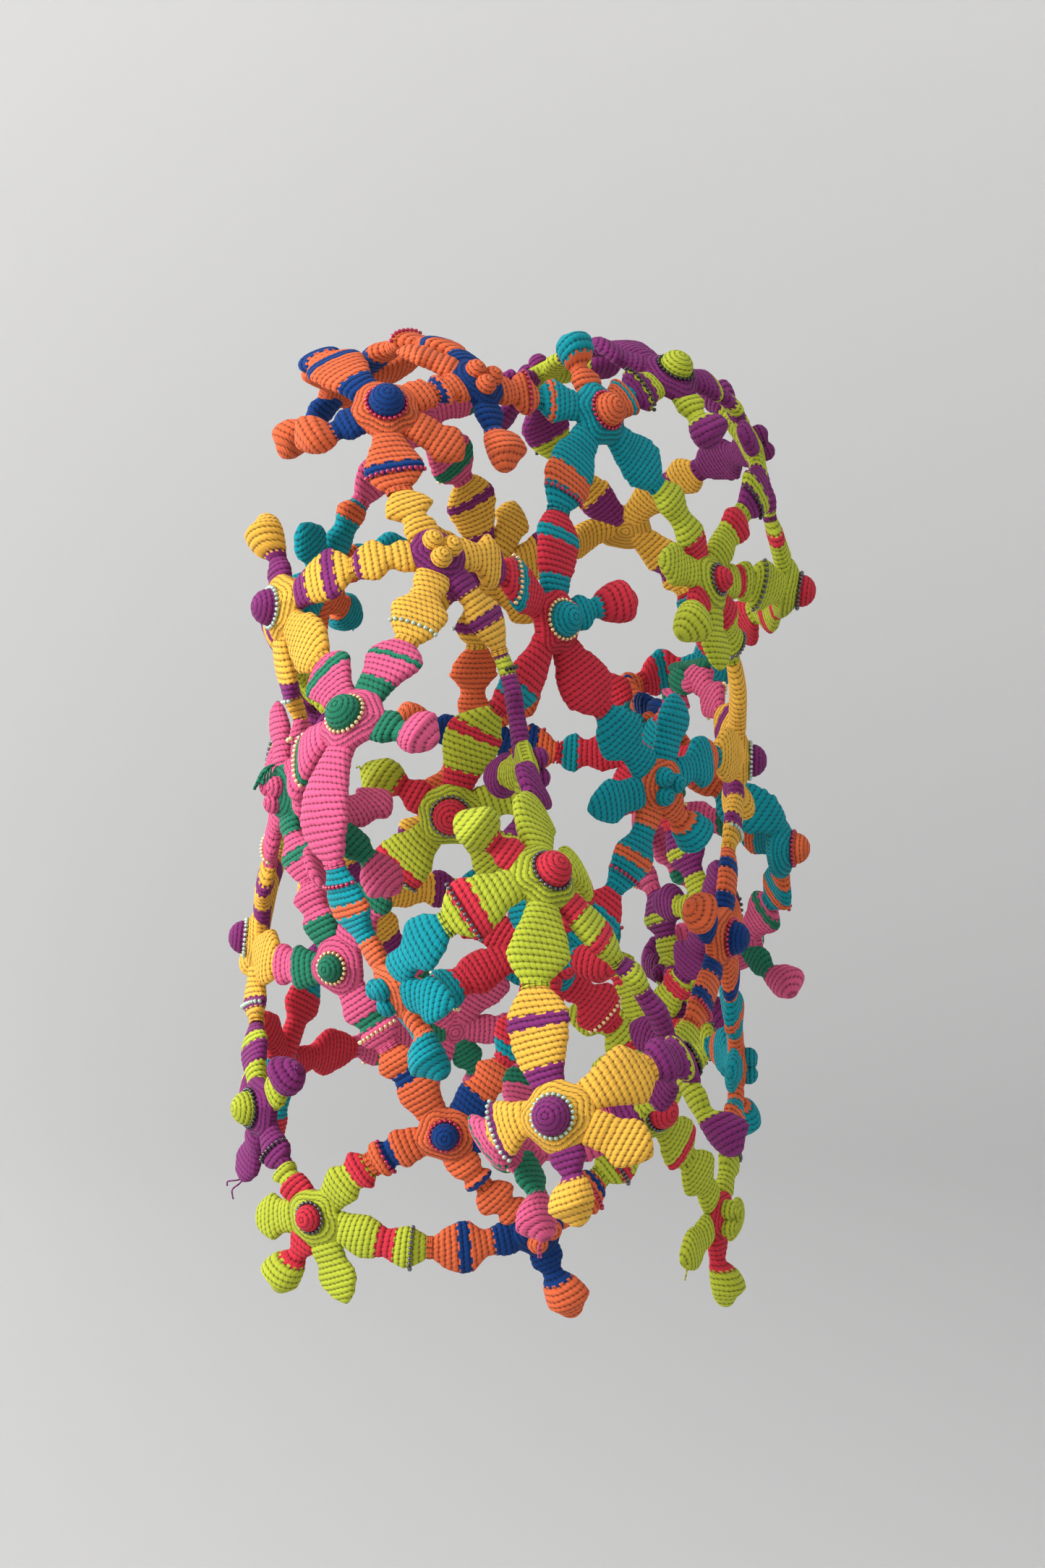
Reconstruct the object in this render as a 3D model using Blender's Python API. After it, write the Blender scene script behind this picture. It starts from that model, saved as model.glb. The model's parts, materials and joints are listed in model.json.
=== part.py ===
"""Open net pullover of stuffed crochet flowers, leaves, pods and buds, held in the shape it is worn in.

Metres, +Z up, the front faces -Y and the wearer's left is +X. The origin is the middle of the neck
opening, level with the shoulders.
Each piece is one closed solid: a middle with arms that lie on the worn form. Linked pieces meet tip to tip.
"""

import math

import bpy
import numpy as np
from mathutils import Matrix

SEED = 48
JOINT_GAP = 0.0004
LIFT = 0.0006
JITTER = 0.007

# Heights, half widths, half depths and middles (y) of the body of the garment.
BODY = np.array(
    (
        (-0.80, 0.208, 0.168, 0.026),
        (-0.66, 0.206, 0.166, 0.024),
        (-0.52, 0.198, 0.158, 0.018),
        (-0.38, 0.190, 0.150, 0.010),
        (-0.27, 0.187, 0.146, 0.003),
        (-0.20, 0.185, 0.132, 0.000),
        (-0.14, 0.182, 0.113, 0.000),
        (-0.08, 0.170, 0.090, 0.002),
        (0.06, 0.158, 0.070, 0.004),
    )
)
ROOF_TOP = 0.014
ROOF_SLOPE = 0.34
ROOF_BOW = 4.6
ROOF_BLEND = 0.05

# Points of each sleeve's middle line, with the radius there.
RIGHT_SLEEVE = np.array(
    (
        (-0.142, 0.000, -0.092, 0.072),
        (-0.254, -0.170, -0.318, 0.070),
        (-0.230, -0.400, -0.588, 0.058),
    )
)
LEFT_SLEEVE = np.array(
    (
        (0.134, 0.006, -0.086, 0.042),
        (0.216, 0.026, -0.190, 0.036),
        (0.264, 0.046, -0.330, 0.032),
        (0.288, 0.054, -0.600, 0.033),
    )
)
LEFT_SLEEVE_SQUASH = 0.50
SLEEVE_BLEND = 0.075
SLEEVE_BLEND_TOP = -0.20
SLEEVE_BLEND_LOW = -0.30

# Neck pieces: x, y, colour, kind.
NECK = (
    (0.004, -0.104, "turquoise", "bloom"),
    (-0.104, -0.062, "orange", "spray"),
    (-0.106, 0.066, "orange", "pod"),
    (-0.004, 0.112, "pink", "bloom"),
    (0.106, 0.066, "purple", "spray"),
    (0.104, -0.062, "purple", "bloom"),
)
# Body pieces: degrees round from the front (to the wearer's left), height, colour, kind.
CHEST = (
    (-27, -0.190, "red", "bloom"),
    (27, -0.180, "lime", "pod"),
    (88, -0.262, "pink", "spray"),
    (152, -0.185, "yellow", "bloom"),
    (-152, -0.190, "turquoise", "pod"),
    (-88, -0.244, "purple", "spray"),
)
WAIST = (
    (0, -0.315, "turquoise", "spray"),
    (51, -0.322, "yellow", "bloom"),
    (104, -0.330, "red", "pod"),
    (155, -0.320, "orange", "spray"),
    (-155, -0.318, "lime", "bloom"),
    (-104, -0.335, "pink", "spray"),
    (-51, -0.325, "lime", "bloom"),
)
HIP = (
    (-25, -0.448, "red", "spray"),
    (26, -0.452, "orange", "bloom"),
    (77, -0.455, "purple", "spray"),
    (129, -0.450, "turquoise", "bloom"),
    (180, -0.446, "yellow", "pod"),
    (-129, -0.452, "yellow", "bloom"),
    (-77, -0.455, "pink", "pod"),
)
HEM = (
    (0, -0.566, "lime", "bloom"),
    (51, -0.574, "turquoise", "spray"),
    (103, -0.570, "lime", "pod"),
    (154, -0.572, "pink", "bloom"),
    (-154, -0.570, "red", "spray"),
    (-103, -0.574, "purple", "bloom"),
    (-51, -0.568, "orange", "pod"),
)
DROPS = (
    (-27, -0.648, "orange", "spray"),
    (25, -0.662, "lime", "spray"),
    (-79, -0.640, "lime", "pod"),
)
# Sleeve pieces: distance down the sleeve, degrees round from its outer side, colour, kind.
RIGHT = (
    (0.020, 60, "orange", "bloom"),
    (0.130, 84, "yellow", "spray"),
    (0.130, -16, "yellow", "bloom"),
    (0.262, 30, "pink", "bloom"),
    (0.258, -78, "pink", "pod"),
    (0.262, 150, "purple", "spray"),
    (0.396, 88, "lime", "bloom"),
    (0.394, -30, "turquoise", "spray"),
    (0.396, -150, "red", "pod"),
    (0.540, 34, "yellow", "bloom"),
    (0.528, -88, "pink", "bloom"),
    (0.534, 152, "purple", "pod"),
)
LEFT = (
    (0.030, 44, "purple", "spray"),
    (0.130, 80, "lime", "bloom"),
    (0.132, -84, "yellow", "pod"),
    (0.236, -10, "red", "spray"),
    (0.250, 180, "orange", "spray"),
    (0.370, 78, "turquoise", "bloom"),
    (0.362, -88, "pink", "pod"),
    (0.478, 0, "pink", "bloom"),
    (0.476, 180, "purple", "spray"),
)

# The first pass of links, then one that ties in pieces with fewer than three: most links, least angle.
LONGEST_LINK = 0.195
PASSES = ((4, math.radians(50), 4), (5, math.radians(44), 3))
FREE_ANGLE = math.radians(98)
LINK_CLEARANCE = 0.036
FREE_CLEARANCE = 0.038
# A free arm lies nearly straight, and this far from the middle it is clear of the piece's other arms.
STRAIGHT_SHARE = 0.84
OWN_REACH = 0.034
OWN_CLEARANCE = 0.025

# Middles: radius, half thickness, height of the dome over it.
MIDDLES = {
    "bloom": (0.0275, 0.0076, 0.0095),
    "spray": (0.0235, 0.0070, 0.0040),
    "pod": (0.0245, 0.0072, 0.0060),
}
# Arms: at each share of the length, the half width and the half thickness.
LINK_ARMS = {
    "bloom": ((0.30, 0.0190, 0.0068), (0.60, 0.0212, 0.0066), (0.84, 0.0150, 0.0058), (1.0, 0.0086, 0.0048)),
    "spray": ((0.24, 0.0102, 0.0060), (0.52, 0.0200, 0.0062), (0.80, 0.0150, 0.0056), (1.0, 0.0082, 0.0048)),
    "pod": ((0.26, 0.0160, 0.0076), (0.50, 0.0112, 0.0064), (0.76, 0.0160, 0.0076), (1.0, 0.0086, 0.0050)),
}
BUD = ((0.24, 0.0072, 0.0060), (0.44, 0.0138, 0.0112), (0.66, 0.0160, 0.0130), (0.88, 0.0096, 0.0080))
LEAFLET = ((0.24, 0.0128, 0.0058), (0.52, 0.0172, 0.0060), (0.80, 0.0112, 0.0052), (0.96, 0.0045, 0.0036))
BUD_LENGTH = 0.072
LEAFLET_LENGTH = 0.068
SHORTEST_FREE = 0.050
SHORT_ARM = 0.064
# The piece under the left armhole, which the limp sleeve hangs clear of.
UNDERARM_LEFT = "chest_3"

# Linear colours of the worsted yarns, which are matt and not metallic.
YARNS = {
    "orange": (0.700, 0.130, 0.045),
    "yellow": (0.790, 0.430, 0.055),
    "turquoise": (0.002, 0.230, 0.300),
    "pink": (0.690, 0.100, 0.190),
    "lime": (0.440, 0.470, 0.028),
    "purple": (0.200, 0.022, 0.145),
    "red": (0.600, 0.028, 0.052),
}
YARN_ROUGHNESS = 0.88


def smooth_min(a, b, k):
    share = np.maximum(k - np.abs(a - b), 0) / k
    return np.minimum(a, b) - share * share * k / 4


def body_distance(p):
    half_width, half_depth, middle = (np.interp(p[:, 2], BODY[:, 0], BODY[:, i]) for i in (1, 2, 3))
    round_it = np.hypot(p[:, 0] / half_width, (p[:, 1] - middle) / half_depth)
    side = (round_it - 1) * np.minimum(half_width, half_depth)
    roof = ROOF_TOP - ROOF_SLOPE * np.hypot(p[:, 0], 0.03) - ROOF_BOW * p[:, 1] ** 2
    return -smooth_min(-side, roof - p[:, 2], ROOF_BLEND)


def sleeve_distance(p, path, squash):
    scale = np.array((1, squash, 1))
    best = None
    for a, b in zip(path[:-1], path[1:]):
        start = a[:3] * scale
        along = b[:3] * scale - start
        from_start = p * scale - start
        t = np.clip(from_start @ along / (along @ along), 0, 1)
        near = np.linalg.norm(from_start - t[:, None] * along, axis=1) - (a[3] + t * (b[3] - a[3]))
        best = near if best is None else smooth_min(best, near, 0.02)
    return best


def worn_distance(p):
    high = np.clip((p[:, 2] - SLEEVE_BLEND_LOW) / (SLEEVE_BLEND_TOP - SLEEVE_BLEND_LOW), 0, 1)
    blend = 0.004 + SLEEVE_BLEND * high * high * (3 - 2 * high)
    with_right = smooth_min(body_distance(p), sleeve_distance(p, RIGHT_SLEEVE, 1), blend)
    return smooth_min(with_right, sleeve_distance(p, LEFT_SLEEVE, LEFT_SLEEVE_SQUASH), blend)


def worn_slope(p):
    step = 2e-4
    shifts = np.eye(3) * step
    return np.stack([(worn_distance(p + s) - worn_distance(p - s)) / (2 * step) for s in shifts], axis=1)


def settle(points):
    """The points moved onto the worn form, and the outward normals there."""
    points = np.array(points, float)
    for _ in range(10):
        slope = worn_slope(points)
        length2 = np.maximum((slope**2).sum(axis=1), 0.05)
        points = points - (worn_distance(points) / length2)[:, None] * slope * 0.9
    slope = worn_slope(points)
    return points, slope / np.linalg.norm(slope, axis=1)[:, None]


def body_start(degrees, height):
    half_width, half_depth, middle = (np.interp(height, BODY[:, 0], BODY[:, i]) for i in (1, 2, 3))
    angle = math.radians(degrees)
    return (1.03 * half_width * math.sin(angle), middle - 1.03 * half_depth * math.cos(angle), height)


def sleeve_start(path, outer, distance, degrees, squash):
    left = distance
    for i in range(len(path) - 1):
        a, b = path[i], path[i + 1]
        length = np.linalg.norm(b[:3] - a[:3])
        if left <= length or i == len(path) - 2:
            break
        left -= length
    share = left / length
    along = (b[:3] - a[:3]) / length
    radius = a[3] + min(share, 1) * (b[3] - a[3])
    out = np.array(outer, float)
    out -= along * (out @ along)
    out /= np.linalg.norm(out)
    front = np.cross(along, out) * math.copysign(1, outer[0])
    angle = math.radians(degrees)
    middle = a[:3] + along * left
    return middle + radius * (out * math.cos(angle) + front * math.sin(angle) / squash)


def starts():
    """(name, colour, kind, start point) of each piece."""
    found = []
    for i, (x, y, colour, kind) in enumerate(NECK, 1):
        roof = ROOF_TOP - ROOF_SLOPE * math.hypot(x, 0.03) - ROOF_BOW * y * y
        found.append((f"neck_{i}", colour, kind, (x, y, roof)))
    for name, rows in (("chest", CHEST), ("waist", WAIST), ("hip", HIP), ("hem", HEM), ("drop", DROPS)):
        for i, (degrees, height, colour, kind) in enumerate(rows, 1):
            found.append((f"{name}_{i}", colour, kind, body_start(degrees, height)))
    for i, (distance, degrees, colour, kind) in enumerate(RIGHT, 1):
        start = sleeve_start(RIGHT_SLEEVE, (-1, 0, 0), distance, degrees, 1)
        found.append((f"sleeve_r_{i:02d}", colour, kind, start))
    for i, (distance, degrees, colour, kind) in enumerate(LEFT, 1):
        start = sleeve_start(LEFT_SLEEVE, (1, 0, 0), distance, degrees, LEFT_SLEEVE_SQUASH)
        found.append((f"sleeve_l_{i}", colour, kind, start))
    return found


def placed():
    """Each piece as a dictionary: name, colour, kind, centre, normal."""
    rng = np.random.default_rng(SEED)
    rows = starts()
    points = np.array([row[3] for row in rows])
    points += rng.uniform(-JITTER, JITTER, points.shape)
    points, normals = settle(points)
    keys = ("name", "colour", "kind", "centre", "normal")
    return [
        dict(zip(keys, (name, colour, kind, centre, normal)))
        for (name, colour, kind, _), centre, normal in zip(rows, points, normals)
    ]


def region(name):
    return name.rsplit("_", 1)[0]


def may_link(a, b):
    """The limp left sleeve and the right sleeve are joined to the body at the shoulder only."""
    regions = {region(a["name"]), region(b["name"])}
    if "sleeve_l" in regions and UNDERARM_LEFT in (a["name"], b["name"]):
        return False
    if len(regions) == 2 and {"sleeve_r", "sleeve_l"} <= regions:
        return False
    for sleeve in ("sleeve_r", "sleeve_l"):
        if sleeve in regions and len(regions) == 2:
            high = min(a["centre"][2], b["centre"][2]) > -0.27
            return high and bool(regions & {"neck", "chest"})
    return True


def flat_direction(piece, towards):
    away = towards - piece["centre"]
    away = away - piece["normal"] * (away @ piece["normal"])
    return away / np.linalg.norm(away)


def link_curve(a, b, bow):
    """Points on the worn form from one centre to the other, with a sideways bow."""
    u = np.linspace(0, 1, 41)[:, None]
    chord = b["centre"] - a["centre"]
    side = np.cross(a["normal"] + b["normal"], chord)
    side /= np.linalg.norm(side)
    points = a["centre"] + u * chord + side * (bow * np.linalg.norm(chord) * np.sin(math.pi * u))
    return settle(points)


def curve_length(points):
    return np.linalg.norm(np.diff(points, axis=0), axis=1).sum()


def angle_between(a, b):
    return math.acos(max(-1.0, min(1.0, float(a @ b))))


def crosses(points, i, j, taken):
    """Whether the curve comes close to a taken one. Curves from one centre start close, so only their far ends count."""
    for m, n, other, _ in taken:
        ends = {i, j} & {m, n}
        if len(ends) == 2:
            return True
        mine, theirs = points[4:-4], other[4:-4]
        if ends:
            shared = ends.pop()
            mine = points[20:] if shared == i else points[:-20]
            theirs = other[20:] if shared == m else other[:-20]
        if np.linalg.norm(mine[:, None] - theirs[None], axis=2).min() < LINK_CLEARANCE:
            return True
    return False


def links_of(pieces):
    """Pairs joined tip to tip, the shortest first, each with its curve."""
    rng = np.random.default_rng(SEED + 1)
    pairs = []
    for i, a in enumerate(pieces):
        for j in range(i + 1, len(pieces)):
            b = pieces[j]
            if np.linalg.norm(b["centre"] - a["centre"]) > LONGEST_LINK or not may_link(a, b):
                continue
            points, normals = link_curve(a, b, rng.uniform(-0.10, 0.10))
            pairs.append((curve_length(points), i, j, points, normals))
    pairs.sort(key=lambda pair: pair[0])
    taken = []
    directions = [[] for _ in pieces]
    for most, least_angle, few in PASSES:
        for length, i, j, points, normals in pairs:
            counts = (len(directions[i]), len(directions[j]))
            if length > LONGEST_LINK or max(counts) >= most or min(counts) >= few:
                continue
            ends = ((i, points[6]), (j, points[-7]))
            ways = [(k, flat_direction(pieces[k], towards)) for k, towards in ends]
            narrow = any(angle_between(way, old) < least_angle for k, way in ways for old in directions[k])
            if narrow or crosses(points, i, j, taken):
                continue
            for k, way in ways:
                directions[k].append(way)
            taken.append((i, j, points, normals))
    return taken


def cut_at(points, normals, distance):
    """The curve up to this distance from its start, as (points, normals, distances)."""
    steps = np.concatenate([[0], np.cumsum(np.linalg.norm(np.diff(points, axis=0), axis=1))])
    kept = steps < distance
    axes = [np.interp(distance, steps, points[:, i]) for i in range(3)]
    tips = [np.interp(distance, steps, normals[:, i]) for i in range(3)]
    return (
        np.vstack([points[kept], axes]),
        np.vstack([normals[kept], tips]),
        np.append(steps[kept], distance),
    )


def arms_from_links(pieces, links):
    rng = np.random.default_rng(SEED + 2)
    for piece in pieces:
        piece["arms"] = []
    for i, j, points, normals in links:
        whole = curve_length(points)
        joint = whole * rng.uniform(0.46, 0.54)
        before, _, _ = cut_at(points, normals, joint - 0.003)
        after, _, _ = cut_at(points, normals, joint + 0.003)
        across = after[-1] - before[-1]
        for k, line, ups, length, tip in (
            (i, points, normals, joint - JOINT_GAP / 2, across),
            (j, points[::-1], normals[::-1], whole - joint - JOINT_GAP / 2, -across),
        ):
            arm = {"curve": cut_at(line, ups, length), "way": flat_direction(pieces[k], line[6])}
            arm.update(profile=LINK_ARMS[pieces[k]["kind"]], free=False, tip=tip)
            pieces[k]["arms"].append(arm)


def bearing(piece, way):
    east, north = flat_axes(piece["normal"])
    return math.atan2(way @ north, way @ east)


def flat_axes(normal):
    east = np.cross((0.31, 0.17, 0.93), normal)
    east /= np.linalg.norm(east)
    return east, np.cross(normal, east)


def free_line(piece, angle, length):
    east, north = flat_axes(piece["normal"])
    way = east * math.cos(angle) + north * math.sin(angle)
    reach = np.linspace(0, length, 21)[:, None]
    return way, settle(piece["centre"] + way * reach)


def beyond(line, centre):
    """The part of the line that is clear of the middle."""
    return line[np.linalg.norm(line - centre, axis=1) > OWN_REACH]


def add_free_arms(pieces, links):
    """A bud, then a leaflet, in each piece's widest spaces, as long as other pieces leave room."""
    others = [(i, j, points) for i, j, points, _ in links]
    tips = []
    for k, piece in enumerate(pieces):
        for profile, full in ((BUD, BUD_LENGTH), (LEAFLET, LEAFLET_LENGTH), (LEAFLET, LEAFLET_LENGTH)):
            angles = sorted(bearing(piece, arm["way"]) for arm in piece["arms"])
            spaces = [
                ((b - a) % (2 * math.pi) or 2 * math.pi, a)
                for a, b in zip(angles, angles[1:] + angles[:1])
            ]
            space, start = max(spaces)
            if space < FREE_ANGLE:
                continue
            way, (points, normals) = free_line(piece, start + space / 2, full)
            room = full
            foreign = [line for i, j, line in others if k not in (i, j)] + [t for n, t in tips if n != k]
            foreign += [other["centre"][None] for other in pieces if other is not piece]
            if foreign:
                gaps = np.linalg.norm(points[:, None] - np.vstack(foreign)[None], axis=2).min(axis=1)
                blocked = np.nonzero(gaps < FREE_CLEARANCE)[0]
                if len(blocked):
                    room = full * (blocked[0] - 1) / 20
            length = curve_length(points)
            mine = beyond(points, piece["centre"])
            if room < SHORTEST_FREE or length < STRAIGHT_SHARE * full or not len(mine):
                continue
            own = [beyond(arm["curve"][0], piece["centre"]) for arm in piece["arms"]]
            gaps = [np.linalg.norm(mine[:, None] - line[None], axis=2).min() for line in own if len(line)]
            if min(gaps, default=1.0) < OWN_CLEARANCE:
                continue
            curve = cut_at(points, normals, min(room, 0.999 * length))
            piece["arms"].append({"curve": curve, "way": way, "profile": profile, "free": True, "tip": None})
            tips.append((k, curve[0][6:]))


def frame_at(arm, distance):
    """Point, unit tangent, unit normal and unit side of the arm's curve at this distance."""
    points, normals, steps = arm["curve"]
    at = np.array([np.interp(distance, steps, points[:, i]) for i in range(3)])
    up = np.array([np.interp(distance, steps, normals[:, i]) for i in range(3)])
    last = min(distance + 0.003, steps[-1])
    first = max(last - 0.006, 0)
    ahead, behind = (
        np.array([np.interp(d, steps, points[:, i]) for i in range(3)]) for d in (last, first)
    )
    along = ahead - behind
    if arm["tip"] is not None and distance >= steps[-1]:
        along = arm["tip"]
    along = along / np.linalg.norm(along)
    up = up - along * (up @ along)
    up /= np.linalg.norm(up)
    return at, along, up, np.cross(up, along)


def section(arm, distance, half_width, half_thick):
    """Six points round the arm: right, top right, top left, left, bottom left, bottom right."""
    at, _, up, left = frame_at(arm, distance)
    middle = at + up * (half_thick + LIFT)
    flat = 0.56 * half_width
    return [
        middle - left * half_width,
        middle - left * flat + up * half_thick,
        middle + left * flat + up * half_thick,
        middle + left * half_width,
        middle + left * flat - up * half_thick,
        middle - left * flat - up * half_thick,
    ]


def piece_mesh(piece):
    """Points and faces of one closed piece."""
    radius, half_thick, dome = MIDDLES[piece["kind"]]
    arms = sorted(piece["arms"], key=lambda arm: bearing(piece, arm["way"]))
    angles = [bearing(piece, arm["way"]) for arm in arms]
    count = len(arms)
    east, north = flat_axes(piece["normal"])
    gaps = [(angles[(k + 1) % count] - angles[k]) % (2 * math.pi) or 2 * math.pi for k in range(count)]
    points = []
    faces = []
    crotches = []
    for angle, gap in zip(angles, gaps):
        reach = min(max(0.0106 / math.sin(min(gap, math.pi) / 2), 0.76 * radius), 1.06 * radius)
        way = east * math.cos(angle + gap / 2) + north * math.sin(angle + gap / 2)
        (at,), (up,) = settle([piece["centre"] + way * reach])
        crotches.append(len(points))
        points.append(at + up * (half_thick + LIFT))
    top = []
    bottom = []
    for k, arm in enumerate(arms):
        right, left = crotches[k - 1], crotches[k]
        narrow = min(gaps[k - 1], gaps[k], math.pi * 0.8)
        reach = arm["curve"][2][-1]
        base = section(arm, radius, 0.0125, half_thick)
        first = len(points)
        points += [base[1], base[2], base[4], base[5]]
        ring = [right, first, first + 1, left, first + 2, first + 3]
        top += [right, first, first + 1]
        bottom += [right, first + 3, first + 2]
        for share, half_width, thick in arm["profile"]:
            distance = radius + share * (reach - radius)
            room = 0.86 * distance * math.tan(narrow / 2)
            half_width *= min(1.0, reach / SHORT_ARM)
            if not arm["free"] or thick < 0.008:
                half_width = min(half_width, max(room, 0.0055))
            first = len(points)
            points += section(arm, distance, half_width, thick)
            after = list(range(first, first + 6))
            for i in range(6):
                n = (i + 1) % 6
                faces.append((ring[n], ring[i], after[i], after[n]))
            ring = after
        if arm["free"]:
            at, along, up, _ = frame_at(arm, reach)
            points.append(at + up * (thick + LIFT))
            faces += [(ring[(i + 1) % 6], ring[i], len(points) - 1) for i in range(6)]
        else:
            faces.append(tuple(ring[::-1]))
    up = piece["normal"]
    points.append(piece["centre"] + up * (2 * half_thick + LIFT + dome))
    points.append(piece["centre"] + up * LIFT)
    for i in range(len(top)):
        n = (i + 1) % len(top)
        faces.append((len(points) - 2, top[i], top[n]))
        faces.append((len(points) - 1, bottom[n], bottom[i]))
    return points, faces


def yarn_material(name, colour):
    material = bpy.data.materials.new(name)
    material.use_nodes = True
    shader = material.node_tree.nodes["Principled BSDF"]
    shader.inputs["Base Color"].default_value = (*YARNS[colour], 1)
    shader.inputs["Roughness"].default_value = YARN_ROUGHNESS
    shader.inputs["Metallic"].default_value = 0
    material.diffuse_color = (*YARNS[colour], 1)
    return material


def make_object(piece, points, faces, parent):
    """The piece as an object at its middle, with +Z out of the garment."""
    east, north = flat_axes(piece["normal"])
    turn = Matrix((east, north, piece["normal"])).transposed()
    local = (np.array(points) - piece["centre"]) @ np.array((east, north, piece["normal"])).T
    mesh = bpy.data.meshes.new(piece["name"])
    mesh.from_pydata([tuple(p) for p in local], [], faces)
    mesh.materials.append(yarn_material("yarn_" + piece["name"], piece["colour"]))
    obj = bpy.data.objects.new(piece["name"], mesh)
    obj.location = piece["centre"]
    obj.rotation_euler = turn.to_euler()
    obj.parent = parent
    bpy.context.scene.collection.objects.link(obj)
    return obj


def main():
    for obj in list(bpy.data.objects):
        bpy.data.objects.remove(obj)
    sweater = bpy.data.objects.new("sweater", None)
    bpy.context.scene.collection.objects.link(sweater)
    pieces = placed()
    links = links_of(pieces)
    arms_from_links(pieces, links)
    add_free_arms(pieces, links)
    for piece in pieces:
        points, faces = piece_mesh(piece)
        make_object(piece, points, faces, sweater)
    counts = [len(piece["arms"]) for piece in pieces]
    print(len(pieces), "pieces", len(links), "links", sum(counts), "arms, fewest", min(counts))


if __name__ == "__main__":
    main()
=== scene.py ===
"""Looks of the open net pullover: crochet rounds, domed buttons, beads and sewn joints.

Metres, +Z up, the front faces -Y. The layout is the part's own: the same tables, in the same order.
"""

import json
import math

import bpy
import numpy as np
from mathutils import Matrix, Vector

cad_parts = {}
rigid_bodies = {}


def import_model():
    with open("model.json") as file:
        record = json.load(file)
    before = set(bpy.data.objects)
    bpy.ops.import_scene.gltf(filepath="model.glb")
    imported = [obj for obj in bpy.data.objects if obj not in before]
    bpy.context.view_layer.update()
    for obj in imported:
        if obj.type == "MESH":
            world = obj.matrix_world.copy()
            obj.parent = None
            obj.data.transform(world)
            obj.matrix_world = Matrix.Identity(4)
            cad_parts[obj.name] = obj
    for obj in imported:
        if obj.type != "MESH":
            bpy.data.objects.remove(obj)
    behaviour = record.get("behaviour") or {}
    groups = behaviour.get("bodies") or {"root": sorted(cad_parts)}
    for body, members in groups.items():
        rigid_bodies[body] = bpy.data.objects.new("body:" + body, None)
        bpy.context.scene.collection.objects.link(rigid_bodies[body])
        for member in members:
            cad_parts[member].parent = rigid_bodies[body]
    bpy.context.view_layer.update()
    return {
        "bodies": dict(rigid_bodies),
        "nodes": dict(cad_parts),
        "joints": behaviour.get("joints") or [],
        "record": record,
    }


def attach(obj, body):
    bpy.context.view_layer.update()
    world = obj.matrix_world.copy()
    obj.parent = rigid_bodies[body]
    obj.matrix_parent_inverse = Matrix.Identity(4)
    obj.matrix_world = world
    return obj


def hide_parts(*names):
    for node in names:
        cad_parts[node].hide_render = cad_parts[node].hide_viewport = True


FULL_TURN = 2 * math.pi

SEED = 48
JOINT_GAP = 0.0004
LIFT = 0.0006
JITTER = 0.007

# Heights, half widths, half depths and middles (y) of the body of the garment.
BODY = np.array(
    (
        (-0.80, 0.208, 0.168, 0.026),
        (-0.66, 0.206, 0.166, 0.024),
        (-0.52, 0.198, 0.158, 0.018),
        (-0.38, 0.190, 0.150, 0.010),
        (-0.27, 0.187, 0.146, 0.003),
        (-0.20, 0.185, 0.132, 0.000),
        (-0.14, 0.182, 0.113, 0.000),
        (-0.08, 0.170, 0.090, 0.002),
        (0.06, 0.158, 0.070, 0.004),
    )
)
ROOF_TOP = 0.014
ROOF_SLOPE = 0.34
ROOF_BOW = 4.6
ROOF_BLEND = 0.05

# Points of each sleeve's middle line, with the radius there.
RIGHT_SLEEVE = np.array(
    (
        (-0.142, 0.000, -0.092, 0.072),
        (-0.254, -0.170, -0.318, 0.070),
        (-0.230, -0.400, -0.588, 0.058),
    )
)
LEFT_SLEEVE = np.array(
    (
        (0.134, 0.006, -0.086, 0.042),
        (0.216, 0.026, -0.190, 0.036),
        (0.264, 0.046, -0.330, 0.032),
        (0.288, 0.054, -0.600, 0.033),
    )
)
LEFT_SLEEVE_SQUASH = 0.50
SLEEVE_BLEND = 0.075
SLEEVE_BLEND_TOP = -0.20
SLEEVE_BLEND_LOW = -0.30

# Neck pieces: x, y, colour, kind.
NECK = (
    (0.004, -0.104, "turquoise", "bloom"),
    (-0.104, -0.062, "orange", "spray"),
    (-0.106, 0.066, "orange", "pod"),
    (-0.004, 0.112, "pink", "bloom"),
    (0.106, 0.066, "purple", "spray"),
    (0.104, -0.062, "purple", "bloom"),
)
# Body pieces: degrees round from the front (to the wearer's left), height, colour, kind.
CHEST = (
    (-27, -0.190, "red", "bloom"),
    (27, -0.180, "lime", "pod"),
    (88, -0.262, "pink", "spray"),
    (152, -0.185, "yellow", "bloom"),
    (-152, -0.190, "turquoise", "pod"),
    (-88, -0.244, "purple", "spray"),
)
WAIST = (
    (0, -0.315, "turquoise", "spray"),
    (51, -0.322, "yellow", "bloom"),
    (104, -0.330, "red", "pod"),
    (155, -0.320, "orange", "spray"),
    (-155, -0.318, "lime", "bloom"),
    (-104, -0.335, "pink", "spray"),
    (-51, -0.325, "lime", "bloom"),
)
HIP = (
    (-25, -0.448, "red", "spray"),
    (26, -0.452, "orange", "bloom"),
    (77, -0.455, "purple", "spray"),
    (129, -0.450, "turquoise", "bloom"),
    (180, -0.446, "yellow", "pod"),
    (-129, -0.452, "yellow", "bloom"),
    (-77, -0.455, "pink", "pod"),
)
HEM = (
    (0, -0.566, "lime", "bloom"),
    (51, -0.574, "turquoise", "spray"),
    (103, -0.570, "lime", "pod"),
    (154, -0.572, "pink", "bloom"),
    (-154, -0.570, "red", "spray"),
    (-103, -0.574, "purple", "bloom"),
    (-51, -0.568, "orange", "pod"),
)
DROPS = (
    (-27, -0.648, "orange", "spray"),
    (25, -0.662, "lime", "spray"),
    (-79, -0.640, "lime", "pod"),
)
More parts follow.
